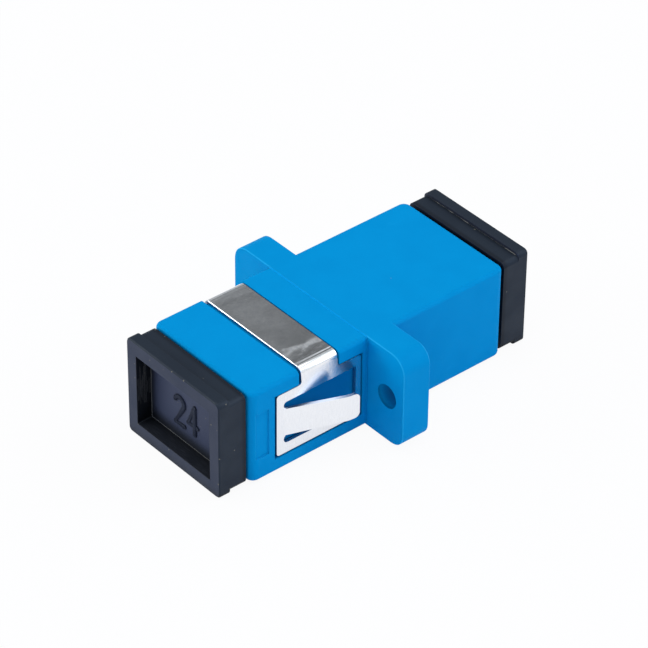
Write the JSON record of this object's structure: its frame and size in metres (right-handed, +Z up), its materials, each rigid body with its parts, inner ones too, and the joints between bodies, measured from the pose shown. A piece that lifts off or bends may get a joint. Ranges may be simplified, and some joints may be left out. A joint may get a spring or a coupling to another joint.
{
  "type": "fibre optic adapter",
  "caption": "Flanged panel adapter that joins square push-pull fibre connectors end to end, with a folded steel panel clip and a dust cap in each port.",
  "frame": {"origin": "where the two ferrules meet: on the optical axis, in the middle of the flange and of the alignment sleeve", "axes": "+X along the optical axis to the rear port, +Y across the flange through its screw holes, +Z up, towards the clip's strap"},
  "size_m": [0.034, 0.0222, 0.0098],
  "materials": {
    "housing_blue": "semi-matte moulded plastic",
    "latch_white": "natural moulded plastic",
    "sleeve_ceramic": "polished zirconia ceramic",
    "clip_steel": "fine rolled grain",
    "cap_black": "matte moulded plastic"
  },
  "bodies": {
    "adapter": {"front_housing": "housing_blue", "rear_housing": "housing_blue", "front_latch_body": "latch_white", "rear_latch_body": "latch_white", "alignment_sleeve": "sleeve_ceramic", "mounting_clip": "clip_steel"},
    "front_cap": {"front_dust_cap": "cap_black"},
    "rear_cap": {"rear_dust_cap": "cap_black"}
  },
  "joints": [
    {"name": "front_cap_pull", "type": "slide", "parent": "adapter", "child": "front_cap", "axis": [-1, 0, 0], "range_m": [0, 0.02]},
    {"name": "rear_cap_pull", "type": "slide", "parent": "adapter", "child": "rear_cap", "axis": [1, 0, 0], "range_m": [0, 0.02]}
  ]
}
